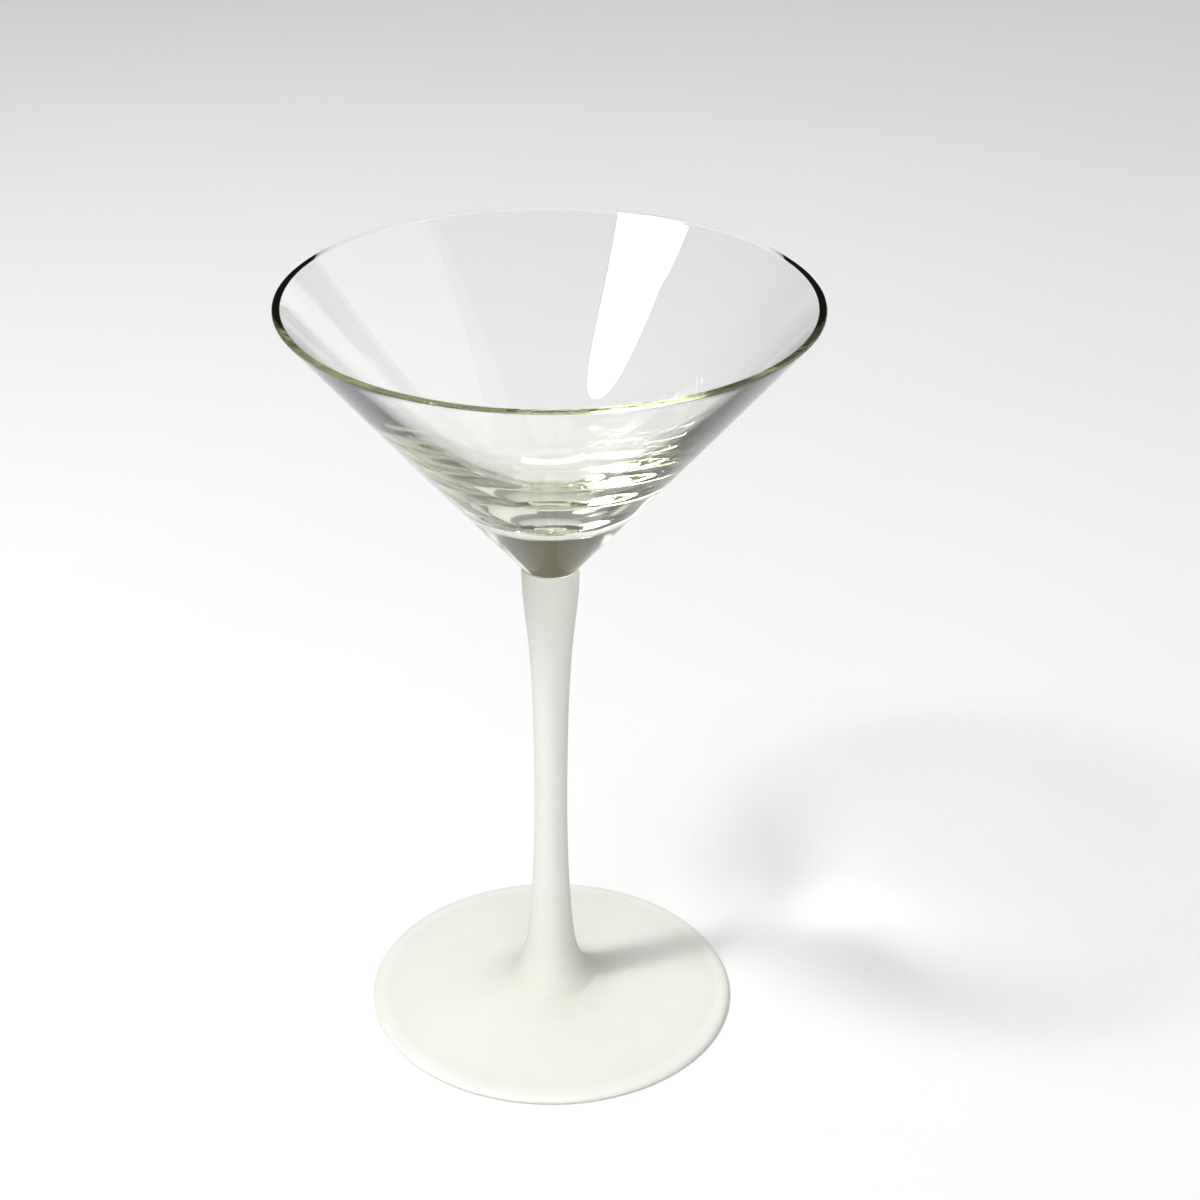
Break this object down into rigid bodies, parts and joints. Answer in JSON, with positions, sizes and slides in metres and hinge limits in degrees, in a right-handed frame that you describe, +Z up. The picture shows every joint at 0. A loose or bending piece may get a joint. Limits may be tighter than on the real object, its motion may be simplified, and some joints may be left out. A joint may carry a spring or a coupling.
{
  "type": "martini glass",
  "caption": "Stemmed cocktail glass: a wide clear conical bowl with a solid glass base, a slender waisted frosted stem and a flat round frosted foot.",
  "frame": {"origin": "centre of the foot's underside, on the surface that the glass stands on", "axes": "+Z up along the axis of the stem and the bowl; X and Y are any two directions across it, because the glass is round"},
  "size_m": [0.115, 0.115, 0.178],
  "materials": {
    "clear_glass": "clear, fire-polished, faint green tint",
    "frosted_stem_glass": "satin frosted, off-white with a faint green tint",
    "frosted_foot_glass": "satin frosted, off-white with a faint green tint"
  },
  "bodies": {
    "root": {"bowl": "clear_glass", "stem": "frosted_stem_glass", "foot": "frosted_foot_glass"}
  },
  "joints": []
}
